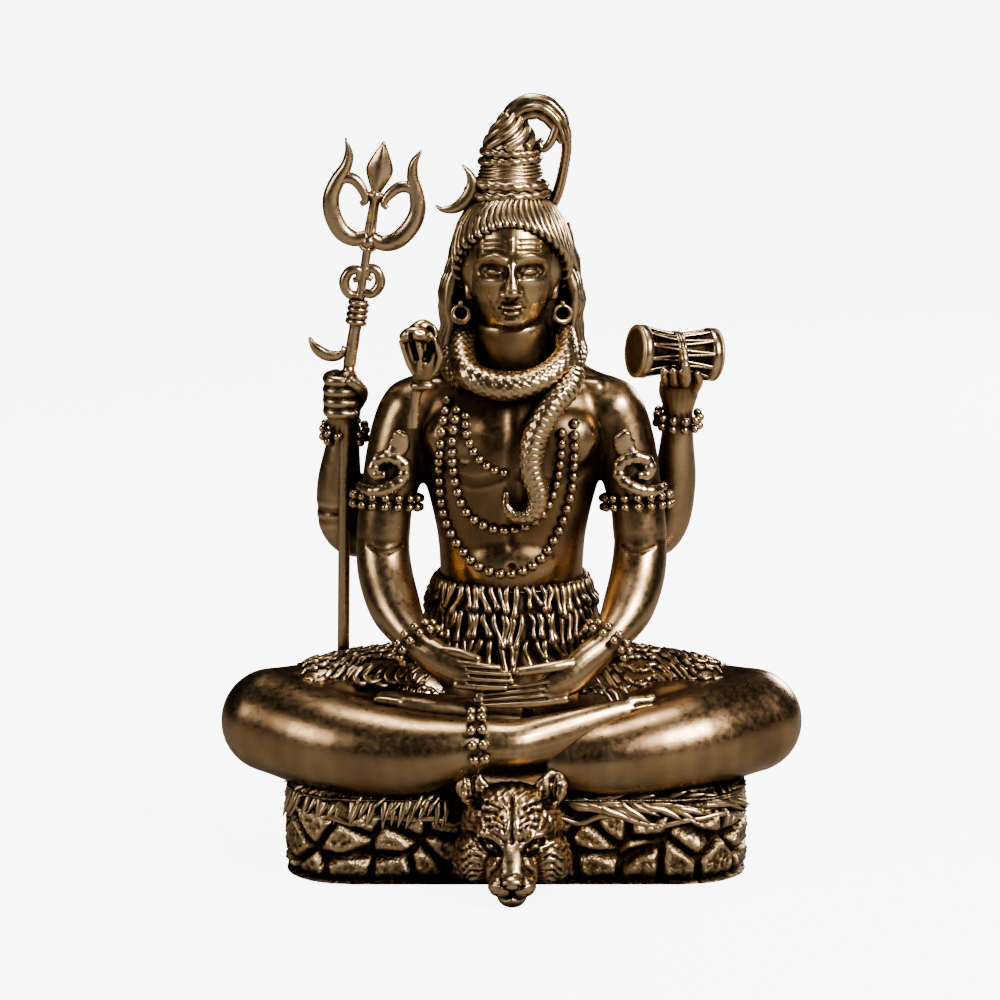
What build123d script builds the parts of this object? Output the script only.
"""Seated four-armed deity in cast brass, in meditation on a rock with a tiger pelt.

The idol is built from separate castings, coped to fit and joined where an ornament hides the seam:
a rock base with the pelt and the tiger's mask, crossed legs and feet, hides, trunk, four arms with
their hands, head and hair, the cobra, bead strings, a drum, and a trident that lifts out of a fist.

Frame: the origin is the middle of the base's underside, +Z is up, the figure faces -Y, and +X is
towards the figure's own left hand. Sizes are in millimetres.
"""

import os
from math import cos, pi, radians, sin

from build123d import *

os.makedirs("parts", exist_ok=True)

# ---------------------------------------------------------------- driving dimensions
base_width = 60.0
base_depth = 34.0
base_height = 11.2
base_corner = 9.0
base_edge_round = 1.2

skin_thickness = 0.8  # the pelt's thickness over the rock
skin_drop = 3.6  # how far the pelt hangs down the rock's sides

mask_width = 14.6  # the tiger's head
mask_height = 13.0
mask_reach = 14.0  # how far it stands in front of the rock
mask_ear_radius = 2.1

figure_x = -0.6  # the figure sits a little to its own right of the base's middle
knee_reach = 31.0
knee_radius = 6.8
knee_height = 6.4  # above the pelt
thigh_radius = 7.0
ankle_radius = 3.4

waist_height = 18.0  # top of the lower hide, above the pelt
waist_half_width = 9.4
waist_half_depth = 6.8
chest_half_width = 13.2
chest_half_depth = 8.0
shoulder_height = 48.5  # above the pelt
shoulder_half_width = 14.2
neck_radius = 4.8
neck_length = 9.0  # from the shoulders to where the jaw meets the neck

head_half_width = 6.0
head_half_depth = 7.0
head_half_height = 8.8
hair_thickness = 1.9
bun_height = 10.8
bun_radius = 4.9

upper_arm_radius = 3.5
forearm_radius = 3.5
wrist_radius = 2.2
elbow_spread = 2.4  # how far the front elbows stand out past the shoulders
elbow_drop = 20.5  # from the shoulders down to the front elbows
wrist_reach = 12.0
wrist_height = 18.4
rear_wrist_radius = 1.9
rear_elbow_drop = 20.0
fist_radius = 3.0
hide_thickness = 0.9

bead_radius = 0.55
large_bead_radius = 0.66
bead_gap = 0.06  # between neighbouring beads, and between a bead and what it lies on

snake_radius = 1.75
snake_coil_radius = 7.9

staff_radius = 0.78
tang_length = 5.0  # the trident's tang inside the fist
tang_clearance = 0.05  # radial, of the tang in the fist
pivot_radius = 0.4
pivot_length = 2.0
stem_length = 9.3  # from the top of the fist to the binding
trident_span = 12.6
trident_height = 12.8
prong_radius = 0.75

drum_length = 11.4
drum_radius = 3.45
drum_waist_radius = 1.9
drum_skin_thickness = 0.35
drum_lace_radius = 0.22
drum_lace_count = 12

screw_radius = 1.5
screw_head_radius = 2.75
screw_head_height = 2.0
screw_length = 15.0  # under the head
screw_spread = 15.0  # between the two screws

seat = base_height + skin_thickness  # the pelt's upper face, where the figure sits
neck_height = shoulder_height + neck_length


# ---------------------------------------------------------------- helpers
def spot(x, y, z):
    """A point given from the figure's own seat: x from its middle plane, z above the pelt."""
    return Vector(figure_x + x, y, seat + z)


def save(piece, label):
    """Labels a finished piece and writes it as its own STEP."""
    piece.part.label = label
    export_step(piece.part, f"parts/{label}.step")


def tangent(points, i):
    """The direction of a chain of points at its point i."""
    return points[min(i + 1, len(points) - 1)] - points[max(i - 1, 0)]


def limb(*chains, balls=(), cut_by=()):
    """A cast limb: chains of round sections (point, radius), lofted, then coped to its neighbours."""
    with BuildPart() as piece:
        for stations in chains:
            points = [point for point, _ in stations]
            for i, (point, radius) in enumerate(stations):
                with BuildSketch(Plane(origin=point, z_dir=tangent(points, i))):
                    Circle(radius)
            loft(ruled=True)
        for point, radius in balls:
            with Locations(point):
                Sphere(radius)
        for neighbour in cut_by:
            add(neighbour.part, mode=Mode.SUBTRACT)
    return piece


def oval_stack(sections, cut_by=()):
    """A trunk-like casting: level ovals (centre, half width, half depth) lofted upwards."""
    with BuildPart() as piece:
        for centre, half_width, half_depth in sections:
            with BuildSketch(Plane.XY.move(Location(centre))):
                Ellipse(half_width, half_depth)
        loft(ruled=True)
        for neighbour in cut_by:
            add(neighbour.part, mode=Mode.SUBTRACT)
    return piece


def is_free(place, room, neighbours):
    """Whether a place is outside every neighbouring casting, with room to spare round it."""
    return all(solid.distance_to(place) > room and not solid.is_inside(place)
               for neighbour in neighbours for solid in neighbour.part.solids())


def whole_beads(places, radius, neighbours):
    """Separate beads at the places that the neighbouring castings leave free."""
    room = radius + bead_gap / 3
    with BuildPart() as piece:
        with Locations(*[place for place in places if is_free(place, room, neighbours)]):
            Sphere(radius)
    return piece


def bead_rings(centre, direction, limb_radius, count, radius, neighbours):
    """Two rows of beads round a limb, where its two castings meet."""
    ring = max(limb_radius + radius + bead_gap, ring_radius_for(count, radius))
    step = direction.normalized() * (radius + bead_gap / 2)
    places = []
    for row in (-step, step):
        level = Plane(origin=centre + row, z_dir=direction)
        for k in range(count):
            turn = 2 * pi * k / count
            places.append(level.from_local_coords(Vector(ring * cos(turn), ring * sin(turn), 0)))
    return whole_beads(places, radius, neighbours)


def ring_radius_for(count, radius):
    """The smallest ring on which that many beads clear each other."""
    return (radius + bead_gap / 2) / sin(pi / count)


def beads_on(outline, radius, grounds, neighbours):
    """Beads strung along an outline in the front view, lying on the first ground met from the front."""
    from_front = Vector(0, -60, 0)
    pitch = 2 * radius + bead_gap
    samples = int(outline.length / pitch / 2)
    rests = []
    for k in range(samples + 1):
        seen = outline @ (k / samples)
        hits = [hit for ground in grounds
                for hit in ground.part.find_intersection_points(Axis(seen + from_front, (0, 1, 0)))]
        if hits:
            point, normal = min(hits, key=lambda hit: hit[0].Y)
            outward = normal if normal.Y < 0 else -normal
            rests.append(point + outward * (radius + bead_gap))
    with BuildLine() as thread:
        Spline(rests)
    string = thread.edge()
    count = int(string.length / pitch)
    places = [string @ (k * pitch / string.length) for k in range(count + 1)]
    return whole_beads(places, radius, grounds + neighbours)


# ---------------------------------------------------------------- rock base and its screws
screw_places = [(-screw_spread / 2, 0, 0), (screw_spread / 2, 0, 0)]

with BuildPart() as rock_base:
    with BuildSketch():
        RectangleRounded(base_width, base_depth, base_corner)
    extrude(amount=base_height)
    fillet(rock_base.faces().sort_by(Axis.Z)[-1].edges(), base_edge_round)
    with Locations(*[Location(place) for place in screw_places]):
        Cylinder(screw_head_radius, screw_head_height, mode=Mode.SUBTRACT,
                 align=(Align.CENTER, Align.CENTER, Align.MIN))
        Cylinder(screw_radius, base_height, mode=Mode.SUBTRACT,
                 align=(Align.CENTER, Align.CENTER, Align.MIN))

with BuildPart() as base_screws:
    with Locations(*[Location(place) for place in screw_places]):
        with Locations((0, 0, screw_head_height / 4)):
            Cylinder(screw_head_radius, screw_head_height * 3 / 4,
                     align=(Align.CENTER, Align.CENTER, Align.MIN))
        with Locations((0, 0, screw_head_height)):
            Cylinder(screw_radius, screw_length,
                     align=(Align.CENTER, Align.CENTER, Align.MIN))
        with Locations((0, 0, screw_head_height / 4)):
            Box(screw_head_radius * 1.5, screw_radius / 2, screw_head_height / 3, mode=Mode.SUBTRACT,
                align=(Align.CENTER, Align.CENTER, Align.MIN))

with BuildPart() as tiger_skin:
    with BuildSketch(Plane.XY.offset(seat - skin_drop)):
        RectangleRounded(base_width + 2 * skin_thickness, base_depth + 2 * skin_thickness,
                         base_corner + skin_thickness)
    extrude(amount=skin_drop)
    fillet(tiger_skin.faces().sort_by(Axis.Z)[-1].edges(), base_edge_round)
    add(rock_base.part, mode=Mode.SUBTRACT)
    add(base_screws.part, mode=Mode.SUBTRACT)

# ---------------------------------------------------------------- tiger's mask
mask_y = -base_depth / 2
mask_z = mask_height / 2 + 1.5
mask_slope = Vector(0, -1, -0.28)
mask_back = Vector(figure_x, mask_y - 0.6, mask_z + 1.4)

with BuildPart() as tiger_head:
    skull_steps = [(-1.5, 0.86), (2.5, 1.0), (6.0, 0.9), (9.0, 0.58), (12.2, 0.42), (mask_reach - 0.4, 0.26)]
    for forward, share in skull_steps:
        with BuildSketch(Plane(origin=mask_back + mask_slope * forward * 0.93, x_dir=(1, 0, 0),
                               z_dir=mask_slope)):
            Ellipse(mask_width / 2 * share, mask_height / 2 * share)
    loft(ruled=True)
    for side in (-1, 1):
        ear = Plane(origin=(figure_x + side * mask_width * 0.36, mask_y - 2.6,
                            mask_z + mask_height * 0.56), z_dir=(side * 0.3, -1, 0.2))
        with BuildSketch(ear):
            Circle(mask_ear_radius)
        extrude(amount=mask_ear_radius * 0.5, both=True)
    add(tiger_skin.part, mode=Mode.SUBTRACT)
    add(rock_base.part, mode=Mode.SUBTRACT)

# ---------------------------------------------------------------- hips and hides
hips = oval_stack(
    [(spot(0, 1.5, 0), waist_half_width + 3.6, waist_half_depth + 2.8),
     (spot(0, 1.5, waist_height * 0.6), waist_half_width + 2.4, waist_half_depth + 2.0),
     (spot(0, 1.0, waist_height), waist_half_width + 0.9, waist_half_depth + 1.2)],
    cut_by=[base_screws])

# ---------------------------------------------------------------- crossed legs
right_knee = spot(-knee_reach, -4, knee_height)
left_knee = spot(knee_reach, -4, knee_height)
right_ankle = spot(-4, -base_depth / 2, knee_height + 0.2)


def folded_leg(side, knee, shin_stations, cut_by):
    """A thigh out to the knee and a shin back from it, with a ball for the knee."""
    thigh = [(spot(side * 5, 3.5, thigh_radius + 0.4), thigh_radius),
             (spot(side * knee_reach * 0.55, 0.5, thigh_radius - 0.2), thigh_radius),
             (knee, knee_radius)]
    return limb(thigh, [(knee, knee_radius)] + shin_stations, balls=[(knee, knee_radius)], cut_by=cut_by)


below_legs = [base_screws, hips, tiger_skin, rock_base, tiger_head]
right_leg = folded_leg(-1, right_knee, [
    (spot(-22.5, -11, knee_height - 1.2), knee_radius - 0.3),
    (spot(-13.5, -15, knee_height - 1.4), knee_radius - 1.2),
    (right_ankle, ankle_radius)], cut_by=below_legs)
left_leg = folded_leg(1, left_knee, [
    (spot(22.5, -11, knee_height - 1.0), knee_radius - 0.4),
    (spot(13.5, -14.5, knee_height - 1.9), knee_radius - 1.6),
    (spot(5, -14.6, knee_height - 2.6), ankle_radius + 0.3)], cut_by=below_legs + [right_leg])

right_foot = limb([
    (right_ankle, ankle_radius - 0.15),
    (spot(5.5, -16.4, knee_height + 1.0), ankle_radius - 0.1),
    (spot(13, -13.8, knee_height + 2.5), ankle_radius - 1.1),
    (spot(18.3, -12.3, knee_height + 3.0), ankle_radius - 2.1)],
    cut_by=below_legs + [right_leg, left_leg])
left_foot = limb([
    (spot(-1, -12.6, knee_height + 2.2), ankle_radius - 0.9),
    (spot(-9, -12.4, knee_height + 3.5), ankle_radius - 1.2),
    (spot(-17.3, -11.0, knee_height + 4.4), ankle_radius - 1.9)],
    cut_by=[hips, right_leg, left_leg, right_foot])

# ---------------------------------------------------------------- trunk
torso = oval_stack(
    [(spot(0, 1.0, waist_height), waist_half_width, waist_half_depth),
     (spot(0, 0.5, waist_height + 7), waist_half_width + 0.1, waist_half_depth),
     (spot(0, 0.2, waist_height + 16), waist_half_width + 1.4, waist_half_depth + 0.5),
     (spot(0, 0.0, shoulder_height - 6), chest_half_width, chest_half_depth),
     (spot(0, 0.6, shoulder_height), shoulder_half_width, chest_half_depth - 1.2),
     (spot(0, 1.0, shoulder_height + 3), shoulder_half_width - 4.2, chest_half_depth - 2.0),
     (spot(0, 0.8, shoulder_height + 5), neck_radius + 0.5, neck_radius + 0.5),
     (spot(0, 0.3, neck_height), neck_radius, neck_radius)],
    cut_by=[hips])

with BuildPart() as waist_hide:
    for height, spread in ((waist_height - 1.6, 2.4), (waist_height + 3, 1.9), (waist_height + 6.6, 0.8)):
        with BuildSketch(Plane.XY.move(Location(spot(0, 0.8, height)))):
            Ellipse(waist_half_width + spread, waist_half_depth + spread)
    loft(ruled=True)
    add(torso.part, mode=Mode.SUBTRACT)
    add(hips.part, mode=Mode.SUBTRACT)


hide_hem = knee_height + 2.4  # the lowest level that the thigh hides reach, above the pelt


def thigh_hide(side, cut_by):
    """The hide that lies over a thigh between the hip and the knee."""
    thick = thigh_radius + hide_thickness
    whole = limb([(spot(side * 9.5, 2.6, thigh_radius + 0.3), thick),
                  (spot(side * knee_reach * 0.55, 0.5, thigh_radius - 0.2), thick),
                  (spot(side * knee_reach * 0.80, -1.8, knee_height), knee_radius + hide_thickness)])
    with BuildPart() as piece:
        add(whole.part)
        with Locations(spot(side * knee_reach / 2, 0, hide_hem)):
            Box(2 * knee_reach, 2 * base_depth, 4 * thigh_radius, mode=Mode.SUBTRACT,
                align=(Align.CENTER, Align.CENTER, Align.MAX))
        for neighbour in cut_by:
            add(neighbour.part, mode=Mode.SUBTRACT)
    return piece


thigh_hide_right = thigh_hide(-1, [right_leg, left_leg, hips, right_foot, left_foot])
thigh_hide_left = thigh_hide(1, [right_leg, left_leg, hips, right_foot, left_foot])
thigh_hides = [thigh_hide_right, thigh_hide_left]

# ---------------------------------------------------------------- front arms and hands in the lap
elbow_reach = shoulder_half_width + elbow_spread
elbow_height = shoulder_height - elbow_drop
armlet_height = elbow_height + 7


def front_shoulder(side):
    """Shoulder and upper arm down to the armlet."""
    ball = spot(side * (shoulder_half_width - 1.2), 0.4, shoulder_height - 1.6)
    ball_radius = upper_arm_radius + 0.5
    return limb([
        (ball, ball_radius),
        (spot(side * (shoulder_half_width + 0.4), 0.2, shoulder_height - 4), upper_arm_radius + 0.9),
        (spot(side * (shoulder_half_width + 1.4), -0.6, shoulder_height - 10), upper_arm_radius + 0.1),
        (spot(side * (elbow_reach - 0.4), -1.2, armlet_height), upper_arm_radius)],
        balls=[(ball, ball_radius)], cut_by=[torso])


def front_arm(side, shoulder):
    """Elbow and forearm, from the armlet down to the bracelet."""
    return limb([
        (spot(side * (elbow_reach - 0.4), -1.2, armlet_height), upper_arm_radius),
        (spot(side * elbow_reach, -2.0, elbow_height), forearm_radius),
        (spot(side * (elbow_reach - 1.0), -6.0, elbow_height - 5), forearm_radius),
        (spot(side * wrist_reach, -11.2, wrist_height), wrist_radius)],
        cut_by=[shoulder, torso, waist_hide, hips] + thigh_hides)


front_shoulder_right = front_shoulder(-1)
front_shoulder_left = front_shoulder(1)
front_arm_right = front_arm(-1, front_shoulder_right)
front_arm_left = front_arm(1, front_shoulder_left)

lap_cut = [hips, waist_hide, right_leg, left_leg, right_foot, left_foot] + thigh_hides
front_hand_right = limb([
    (spot(-wrist_reach, -11.2, wrist_height), wrist_radius - 0.05),
    (spot(-wrist_reach + 4.2, -13.6, wrist_height - 3.4), wrist_radius + 0.5),
    (spot(-wrist_reach + 8.0, -14.4, wrist_height - 4.2), wrist_radius),
    (spot(-0.4, -14.6, wrist_height - 4.2), wrist_radius - 1.0)],
    cut_by=[front_arm_right] + lap_cut)
front_hand_left = limb([
    (spot(wrist_reach, -11.2, wrist_height), wrist_radius - 0.05),
    (spot(wrist_reach - 4.2, -13.8, wrist_height - 4.4), wrist_radius + 0.5),
    (spot(wrist_reach - 9.0, -14.8, wrist_height - 5.8), wrist_radius),
    (spot(-4.5, -14.8, wrist_height - 6.8), wrist_radius - 1.2)],
    cut_by=[front_arm_left, front_hand_right] + lap_cut)

# ---------------------------------------------------------------- trident's line, through the rear right fist
fist_centre = spot(-shoulder_half_width - 7.4, 3.0, shoulder_height + 0.1)
trident_lean = Vector(3.4, -1.4, 21.0).normalized()
staff_foot = spot(-22.1, 2.2, thigh_radius * 2 - 0.6)
stem_start = fist_centre + trident_lean * (fist_radius - tang_length)
stem_top = fist_centre + trident_lean * (fist_radius + stem_length)

# ---------------------------------------------------------------- rear arms
drum_centre = spot(shoulder_half_width + 6.9, 1.5, shoulder_height + 5.4)
drum_turn = Plane(origin=drum_centre, z_dir=(-1, -0.36, 0.10))
rear_elbow_height = shoulder_height - rear_elbow_drop
rear_arm_radius = upper_arm_radius - 0.7


def rear_arm(side, elbow, wrist):
    """A rear arm: behind the front shoulder, down to its elbow, then up to the wrist."""
    upper = [(spot(side * (shoulder_half_width - 3.2), 5.2, shoulder_height - 1.4), rear_arm_radius + 0.5),
             (spot(side * (shoulder_half_width + 1.2), 6.6, (shoulder_height + rear_elbow_height) / 2),
              rear_arm_radius + 0.3),
             (elbow, rear_arm_radius)]
    forearm = [(elbow, rear_arm_radius),
               ((elbow + wrist) * 0.5 + Vector(side * 0.6, 0.2, 0), rear_arm_radius + 0.1),
               (wrist, rear_wrist_radius)]
    return limb(upper, forearm, balls=[(elbow, rear_arm_radius)],
                cut_by=[torso, front_shoulder_right, front_shoulder_left, front_arm_right, front_arm_left])


rear_wrist_right = fist_centre + Vector(-0.2, 1.6, -5.6)
rear_wrist_left = drum_centre + Vector(0.6, 2.2, -9.0)
rear_arm_right = rear_arm(-1, spot(-shoulder_half_width - 5.4, 6.4, rear_elbow_height), rear_wrist_right)
rear_arm_left = rear_arm(1, spot(shoulder_half_width + 4.4, 6.4, rear_elbow_height), rear_wrist_left)

with BuildPart() as lower_staff:
    staff_axis = fist_centre - staff_foot
    with Locations(Plane(origin=staff_foot, z_dir=staff_axis)):
        Cylinder(staff_radius, staff_axis.length - fist_radius * 0.75,
                 align=(Align.CENTER, Align.CENTER, Align.MIN))
    add(thigh_hide_right.part, mode=Mode.SUBTRACT)
    add(right_leg.part, mode=Mode.SUBTRACT)
    add(rear_arm_right.part, mode=Mode.SUBTRACT)

heel_of_hand = (rear_wrist_right + fist_centre) * 0.5
closed_hand = limb([(rear_wrist_right, rear_wrist_radius), (heel_of_hand, rear_wrist_radius + 0.5)],
                   balls=[(fist_centre, fist_radius)], cut_by=[lower_staff, rear_arm_right])
with BuildPart() as rear_hand_right:
    add(closed_hand.part)
    with Locations(Plane(origin=stem_start, z_dir=trident_lean)):
        Cylinder(staff_radius + tang_clearance, 2 * fist_radius, mode=Mode.SUBTRACT,
                 align=(Align.CENTER, Align.CENTER, Align.MIN))

# ---------------------------------------------------------------- drum in the rear left hand
half_drum = drum_length / 2 - drum_skin_thickness
with BuildPart() as drum_shell:
    with BuildSketch(Plane(origin=drum_centre, x_dir=drum_turn.x_dir, z_dir=drum_turn.y_dir)):
        with BuildLine():
            Polyline((0, -half_drum), (drum_radius, -half_drum), (drum_radius, -half_drum + 1.1))
            ThreePointArc((drum_radius, -half_drum + 1.1), (drum_waist_radius, 0),
                          (drum_radius, half_drum - 1.1))
            Polyline((drum_radius, half_drum - 1.1), (drum_radius, half_drum), (0, half_drum),
                     (0, -half_drum))
        make_face()
    revolve(axis=Axis(drum_centre, drum_turn.z_dir))

with BuildPart() as drum_skins:
    for end in (-1, 1):
        rim = drum_centre + drum_turn.z_dir * end * (half_drum + drum_skin_thickness / 2)
        with Locations(Plane(origin=rim, z_dir=drum_turn.z_dir)):
            Cylinder(drum_radius, drum_skin_thickness)

with BuildPart() as drum_lacing:
    lace_circle = drum_radius - drum_lace_radius - 0.25
    lace_half = half_drum - 1.5
    lace_turn = 2 * pi / drum_lace_count
    for k in range(drum_lace_count):
        lean = 0.32 * (1 if k % 2 else -1)
        low_turn = k * lace_turn - lean / 2
        high_turn = k * lace_turn + lean / 2
        start = drum_turn.from_local_coords(
            (lace_circle * cos(low_turn), lace_circle * sin(low_turn), -lace_half))
        end = drum_turn.from_local_coords(
            (lace_circle * cos(high_turn), lace_circle * sin(high_turn), lace_half))
        with Locations(Plane(origin=start, z_dir=end - start)):
            Cylinder(drum_lace_radius, (end - start).length,
                     align=(Align.CENTER, Align.CENTER, Align.MIN))
    add(drum_shell.part, mode=Mode.SUBTRACT)

rear_hand_left = limb([
    (rear_wrist_left, rear_wrist_radius),
    (rear_wrist_left + Vector(0.2, -0.6, 3.0), rear_wrist_radius + 0.7),
    (rear_wrist_left + Vector(0.0, -2.6, 6.4), rear_wrist_radius + 0.2),
    (rear_wrist_left + Vector(-0.4, -5.0, 9.6), rear_wrist_radius - 0.7)],
    cut_by=[drum_shell, drum_lacing, drum_skins, rear_arm_left])

# ---------------------------------------------------------------- head and hair
head_centre = spot(0, -0.9, neck_height + head_half_height - 1.2)


def egg(centre, half_width, half_depth, half_height):
    """An upright oval ball, widest a little above its middle."""
    with BuildPart() as piece:
        for turn in (-86, -66, -42, -15, 15, 42, 66, 86):
            share = cos(radians(turn))
            level = centre + Vector(0, 0, half_height * sin(radians(turn)))
            with BuildSketch(Plane.XY.move(Location(level))):
                Ellipse(half_width * share, half_depth * share)
        loft(ruled=True)
    return piece


with BuildPart() as head:
    add(egg(head_centre, head_half_width, head_half_depth, head_half_height).part)
    add(torso.part, mode=Mode.SUBTRACT)

hair_centre = head_centre + Vector(0, 1.0, 1.2)
with BuildPart() as hair_cap:
    add(egg(hair_centre, head_half_width + hair_thickness, head_half_depth + hair_thickness - 0.4,
            head_half_height + 0.4).part)
    with Locations(head_centre + Vector(0, -head_half_depth - 1.6, -3.4)):
        Box(2 * head_half_width - 0.4, 2 * head_half_depth - 1.0, 2 * head_half_height + 2.4,
            mode=Mode.SUBTRACT)
    add(head.part, mode=Mode.SUBTRACT)
    add(torso.part, mode=Mode.SUBTRACT)

bun_foot = hair_centre + Vector(-0.2, 0.4, head_half_height - 0.7)
with BuildPart() as hair_bun:
    for level, radius in ((0, bun_radius), (0.3, bun_radius - 0.5), (0.55, bun_radius - 1.2),
                          (0.8, bun_radius - 2.0), (1.0, bun_radius - 3.0)):
        with BuildSketch(Plane.XY.move(Location(bun_foot + Vector(0, 0, bun_height * level)))):
            Circle(radius)
    loft(ruled=True)
    add(hair_cap.part, mode=Mode.SUBTRACT)
    add(head.part, mode=Mode.SUBTRACT)

lock_top = head_centre + Vector(0, 4.4, 0)
with BuildPart() as hair_locks:
    for level, half_width, half_depth, back in (
            (0, 8.6, 3.2, 0.6), (-9, 9.0, 3.2, 1.2), (-16, 9.2, 2.8, 3.0),
            (-24, 8.2, 2.2, 4.2), (-32, 6.4, 1.6, 4.2)):
        with BuildSketch(Plane.XY.move(Location(lock_top + Vector(0, back, level)))):
            Ellipse(half_width, half_depth)
    loft(ruled=True)
    for neighbour in (head, hair_cap, torso, front_shoulder_right, front_shoulder_left, rear_arm_right,
                      rear_arm_left):
        add(neighbour.part, mode=Mode.SUBTRACT)

# ---------------------------------------------------------------- cobra, round the neck
coil_centre = spot(0, 0.6, shoulder_height + 5.2)
coil_plane = Plane(origin=coil_centre, z_dir=(0, -0.42, 1))
with BuildPart() as cobra_coil:
    with Locations(coil_plane):
        Torus(snake_coil_radius, snake_radius)
    for neighbour in (torso, front_shoulder_right, front_shoulder_left, hair_locks, hair_cap, head):
        add(neighbour.part, mode=Mode.SUBTRACT)

hood_foot = spot(-11.6, -6.8, shoulder_height - 3.0)
with BuildPart() as cobra_hood:
    for lift, half_width, half_depth, forward in (
            (0, 1.1, 1.1, 0.0), (3.0, 1.2, 1.0, -0.4), (5.2, 2.4, 1.0, -1.0),
            (8.6, 2.7, 1.1, -1.6), (11.2, 1.9, 1.2, -2.2), (13.2, 0.7, 0.8, -2.8)):
        with BuildSketch(Plane.XY.move(Location(hood_foot + Vector(0.1 * lift, forward, lift)))):
            Ellipse(half_width, half_depth)
    loft(ruled=True)
    for neighbour in (torso, front_shoulder_right, cobra_coil):
        add(neighbour.part, mode=Mode.SUBTRACT)

cobra_tail = limb([
    (spot(7.7, -6.6, shoulder_height + 3.0), snake_radius),
    (spot(4.9, -8.6, shoulder_height - 0.4), snake_radius),
    (spot(2.8, -9.2, shoulder_height - 4.2), snake_radius - 0.1),
    (spot(2.6, -9.2, shoulder_height - 8.0), snake_radius - 0.2),
    (spot(3.5, -9.0, shoulder_height - 11.2), snake_radius - 0.4),
    (spot(2.3, -8.9, shoulder_height - 14.1), snake_radius - 0.7),
    (spot(0.1, -8.7, shoulder_height - 13.8), snake_radius - 1.0),
    (spot(-0.8, -8.4, shoulder_height - 11.3), snake_radius - 1.3)],
    cut_by=[torso, cobra_coil, front_shoulder_left, waist_hide])

# ---------------------------------------------------------------- bead strings
grounds = [torso, front_shoulder_right, front_shoulder_left, waist_hide]


def front_curve(*places):
    """A smooth curve through places given as (x, z) from the figure's seat, in the front view."""
    with BuildLine() as curve:
        Spline([spot(x, 0, z) for x, z in places])
    return curve.edge()


def bead_string(radius, *places):
    """One string of beads on the chest, left out where the cobra lies over it."""
    return beads_on(front_curve(*places), radius, grounds, [cobra_coil, cobra_hood, cobra_tail])


top = shoulder_height
long_mala = bead_string(bead_radius, (-9.4, top - 3), (-9.4, top - 12), (-7, top - 17.4), (-3.4, top - 21),
                        (0.2, top - 21.8), (4.2, top - 19.4), (6.8, top - 13.4), (7.8, top - 4),
                        (7.8, top - 1))
middle_mala = bead_string(bead_radius, (-8.3, top - 3), (-8, top - 10.8), (-5.8, top - 14.2),
                          (-2, top - 15.8), (1.2, top - 16), (4.8, top - 13.6), (6.6, top - 8),
                          (6.6, top - 2))
short_mala = bead_string(bead_radius, (-6.3, top - 3), (-5.8, top - 5.4), (-4.2, top - 7.2),
                         (-1.4, top - 8.2))

# ---------------------------------------------------------------- armlets, bracelets, anklet
armlet_count = 16
front_bracelet_count = 12
rear_bracelet_count = 11
anklet_count = 14


def armlet(side, neighbours):
    """Beads round the upper arm, where the shoulder's casting meets the elbow's."""
    centre = spot(side * (elbow_reach - 0.4), -1.2, armlet_height)
    direction = spot(side * elbow_reach, -2.0, elbow_height) - centre
    return bead_rings(centre, direction, upper_arm_radius + 0.25, armlet_count, bead_radius, neighbours)


def front_bracelet(side, arm, hand):
    """Beads round a front wrist."""
    return bead_rings(spot(side * wrist_reach, -11.2, wrist_height), Vector(-side * 4.5, -4.6, -4.6),
                      wrist_radius + 0.3, front_bracelet_count, bead_radius, [arm, hand] + lap_cut)


def rear_bracelet(wrist, direction, neighbours):
    """Beads round a rear wrist."""
    return bead_rings(wrist, direction, rear_wrist_radius + 0.3, rear_bracelet_count, bead_radius, neighbours)


armlet_right = armlet(-1, [front_shoulder_right, front_arm_right, torso, rear_arm_right])
armlet_left = armlet(1, [front_shoulder_left, front_arm_left, torso, rear_arm_left])
bracelet_front_right = front_bracelet(-1, front_arm_right, front_hand_right)
bracelet_front_left = front_bracelet(1, front_arm_left, front_hand_left)
bracelet_rear_right = rear_bracelet(rear_wrist_right, fist_centre - rear_wrist_right,
                                    [rear_arm_right, rear_hand_right, lower_staff, front_shoulder_right])
bracelet_rear_left = rear_bracelet(rear_wrist_left, Vector(0.2, -0.6, 3.0),
                                   [rear_arm_left, rear_hand_left, front_shoulder_left])
anklet = bead_rings(right_ankle, Vector(9.5, -0.4, 1.0), ankle_radius + 0.15, anklet_count, large_bead_radius,
                    [right_leg, left_leg, right_foot, left_foot, front_hand_right, front_hand_left,
                     tiger_skin, rock_base, tiger_head])

# ---------------------------------------------------------------- earrings, crescent, river
earring_radius = 1.25
earring_wire = 0.3


def earring(side):
    """A ring under the ear lobe."""
    with BuildPart() as piece:
        with Locations(Plane(origin=head_centre + Vector(side * (head_half_width + 0.5), -0.9, -5.6),
                             z_dir=(side * 0.35, -1, 0))):
            Torus(earring_radius, earring_wire)
        for neighbour in (head, hair_cap, hair_locks, cobra_coil, torso):
            add(neighbour.part, mode=Mode.SUBTRACT)
    return piece


earring_right = earring(-1)
earring_left = earring(1)

crescent_radius = 3.4
crescent_thickness = 0.9
with BuildPart() as crescent_moon:
    with BuildSketch(Plane(origin=bun_foot + Vector(-6.2, -2.0, 3.0), x_dir=(1, -0.25, 0),
                           z_dir=(-0.25, -1, 0))):
        Circle(crescent_radius)
        with Locations((-crescent_radius * 0.42, crescent_radius * 0.42)):
            Circle(crescent_radius * 0.9, mode=Mode.SUBTRACT)
    extrude(amount=crescent_thickness / 2, both=True)
    for neighbour in (hair_bun, hair_cap, head):
        add(neighbour.part, mode=Mode.SUBTRACT)

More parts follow.
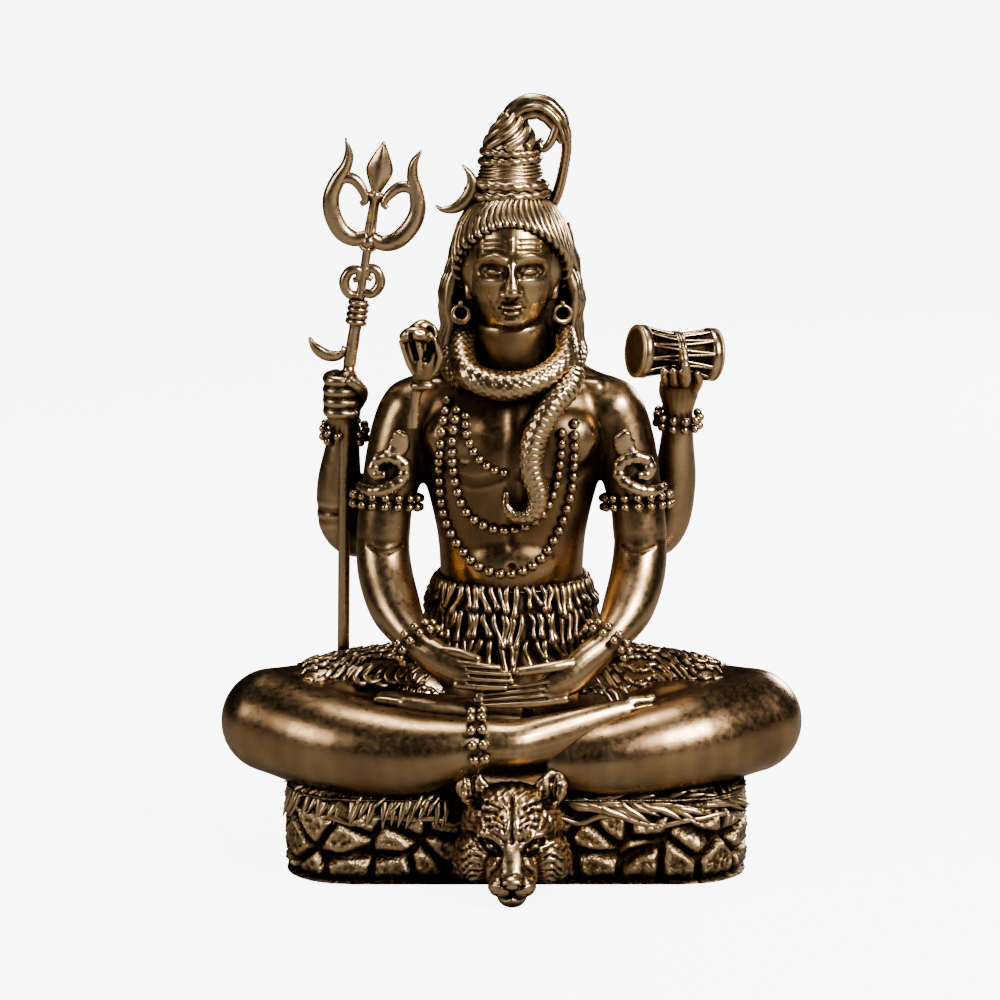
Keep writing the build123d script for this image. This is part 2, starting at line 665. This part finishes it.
river_radius = 1.05
bun_tip = bun_foot + Vector(0.6, 0, bun_height * 0.86)
with BuildPart() as river_arch:
    with BuildLine() as arch_line:
        ThreePointArc(bun_tip, bun_tip + Vector(3.4, 0.2, 2.9), bun_tip + Vector(7.2, 0.4, -1.6))
    with BuildSketch(Plane(origin=bun_tip, z_dir=arch_line.edge() % 0)):
        Circle(river_radius)
    sweep(path=arch_line.edge())
    add(hair_bun.part, mode=Mode.SUBTRACT)

stream_start = bun_tip + Vector(7.2, 0.4, -1.6)
with BuildPart() as river_stream:
    with BuildLine() as stream_line:
        ThreePointArc(stream_start, stream_start + Vector(-0.3, 0.4, -4.6),
                      stream_start + Vector(-2.6, 0.8, -9.0))
    with BuildSketch(Plane(origin=stream_start, z_dir=stream_line.edge() % 0)):
        Circle(river_radius * 0.8)
    sweep(path=stream_line.edge())
    for neighbour in (river_arch, hair_cap, hair_bun, head):
        add(neighbour.part, mode=Mode.SUBTRACT)

# ---------------------------------------------------------------- trident, which lifts and turns
stem_bottom = stem_start + trident_lean * tang_length
with BuildPart() as trident_tang:
    with Locations(Plane(origin=stem_start, z_dir=trident_lean)):
        Cylinder(staff_radius, tang_length + 0.6, align=(Align.CENTER, Align.CENTER, Align.MIN))
        Cylinder(pivot_radius, tang_length + 0.6 + pivot_length,
                 align=(Align.CENTER, Align.CENTER, Align.MIN))

turn_plane = Plane(origin=stem_start + trident_lean * (tang_length + 0.65), x_dir=(1, 0, -trident_lean.X),
                   z_dir=trident_lean)
stem_run = (stem_top - turn_plane.origin).length
with BuildPart() as trident_stem:
    with Locations(turn_plane):
        Cylinder(staff_radius, stem_run, align=(Align.CENTER, Align.CENTER, Align.MIN))
        Cylinder(pivot_radius + tang_clearance, pivot_length + 0.2, mode=Mode.SUBTRACT,
                 align=(Align.CENTER, Align.CENTER, Align.MIN))

binding_height = 3.2
binding_radius = staff_radius + 0.57
with BuildPart() as stem_binding:
    with Locations(Plane(origin=stem_top - trident_lean * binding_height, z_dir=trident_lean)):
        for k in range(3):
            with Locations((0, 0, (k + 0.5) * binding_height / 3)):
                Torus(binding_radius - 0.45, 0.5)
    add(trident_stem.part, mode=Mode.SUBTRACT)

# The face plane of the trident: x to the figure's left, y along the lean.
face = Plane(origin=stem_top, x_dir=(1, 0, -trident_lean.X), z_dir=(0, -1, 0))
scroll_height = 5.0
scroll_neck = 2.2  # from the scroll up to the ball
with BuildPart() as scroll_emblem:
    with BuildSketch(face):
        with Locations((1.0, scroll_height * 0.32), (-1.0, scroll_height * 0.32)):
            Circle(1.3)
        with Locations((0, (scroll_height + scroll_neck) / 2)):
            Rectangle(1.2, scroll_height + scroll_neck)
        with Locations((1.15, scroll_height * 0.32), (-1.15, scroll_height * 0.32)):
            Circle(0.65, mode=Mode.SUBTRACT)
    extrude(amount=0.55, both=True)
    add(trident_stem.part, mode=Mode.SUBTRACT)
    add(stem_binding.part, mode=Mode.SUBTRACT)

ball_radius = 1.0
collar_centre = stem_top + trident_lean * (scroll_height + scroll_neck + ball_radius * 0.8)
prong_plane = Plane(origin=collar_centre, x_dir=(1, 0, -trident_lean.X), z_dir=(0, -1, 0))
half_span = trident_span / 2 - prong_radius
blade_foot = collar_centre + trident_lean * trident_height * 0.45
with BuildPart() as trident_prongs:
    for side in (-1, 1):
        with BuildLine(prong_plane) as prong_line:
            Spline([(0, 0.3), (side * half_span * 0.62, 0.1), (side * half_span, trident_height * 0.33),
                    (side * (half_span - 1.5), trident_height * 0.66),
                    (side * (half_span - 0.6), trident_height * 0.98)])
        with BuildSketch(Plane(origin=prong_line.edge() @ 0, z_dir=prong_line.edge() % 0)):
            Circle(prong_radius)
        sweep(path=prong_line.edge())
    with Locations(Plane(origin=collar_centre, z_dir=trident_lean)):
        Cylinder(prong_radius, trident_height * 0.46, align=(Align.CENTER, Align.CENTER, Align.MIN))
    with Locations(Plane(origin=blade_foot, z_dir=trident_lean)):
        Cone(1.15, 0.15, trident_height * 0.55, align=(Align.CENTER, Align.CENTER, Align.MIN))
    add(scroll_emblem.part, mode=Mode.SUBTRACT)

with BuildPart() as trident_ball:
    with Locations(collar_centre - trident_lean * 0.2):
        Sphere(ball_radius)
    add(scroll_emblem.part, mode=Mode.SUBTRACT)
    add(trident_prongs.part, mode=Mode.SUBTRACT)

sash_foot = stem_bottom + trident_lean * 2.4
sash_tail = limb([
    (sash_foot + Vector(-0.9 * staff_radius, 0, 0), staff_radius / 3),
    (sash_foot + Vector(-2.0, 0, -0.8), 0.9),
    (sash_foot + Vector(-4.0, 0, 0.1), 0.9),
    (sash_foot + Vector(-5.5, 0, 1.9), 0.4)],
    cut_by=[trident_stem, trident_tang])

# ---------------------------------------------------------------- one STEP for each piece
for label, piece in {
        "rock_base": rock_base, "base_screws": base_screws,
        "tiger_skin": tiger_skin, "tiger_head": tiger_head,
        "hips": hips, "waist_hide": waist_hide,
        "thigh_hide_right": thigh_hide_right, "thigh_hide_left": thigh_hide_left,
        "leg_right": right_leg, "leg_left": left_leg, "foot_right": right_foot, "foot_left": left_foot,
        "torso": torso,
        "front_shoulder_right": front_shoulder_right, "front_shoulder_left": front_shoulder_left,
        "front_arm_right": front_arm_right, "front_arm_left": front_arm_left,
        "front_hand_right": front_hand_right, "front_hand_left": front_hand_left,
        "rear_arm_right": rear_arm_right, "rear_arm_left": rear_arm_left,
        "rear_hand_right": rear_hand_right, "rear_hand_left": rear_hand_left,
        "drum_shell": drum_shell, "drum_skins": drum_skins, "drum_lacing": drum_lacing,
        "head": head, "hair_cap": hair_cap, "hair_bun": hair_bun, "hair_locks": hair_locks,
        "cobra_coil": cobra_coil, "cobra_hood": cobra_hood, "cobra_tail": cobra_tail,
        "long_mala": long_mala, "middle_mala": middle_mala, "short_mala": short_mala,
        "armlet_right": armlet_right, "armlet_left": armlet_left, "anklet": anklet,
        "bracelet_front_right": bracelet_front_right, "bracelet_front_left": bracelet_front_left,
        "bracelet_rear_right": bracelet_rear_right, "bracelet_rear_left": bracelet_rear_left,
        "earring_right": earring_right, "earring_left": earring_left,
        "crescent_moon": crescent_moon, "river_arch": river_arch, "river_stream": river_stream,
        "lower_staff": lower_staff, "trident_tang": trident_tang, "trident_stem": trident_stem,
        "stem_binding": stem_binding, "scroll_emblem": scroll_emblem, "trident_ball": trident_ball,
        "trident_prongs": trident_prongs, "sash_tail": sash_tail}.items():
    save(piece, label)
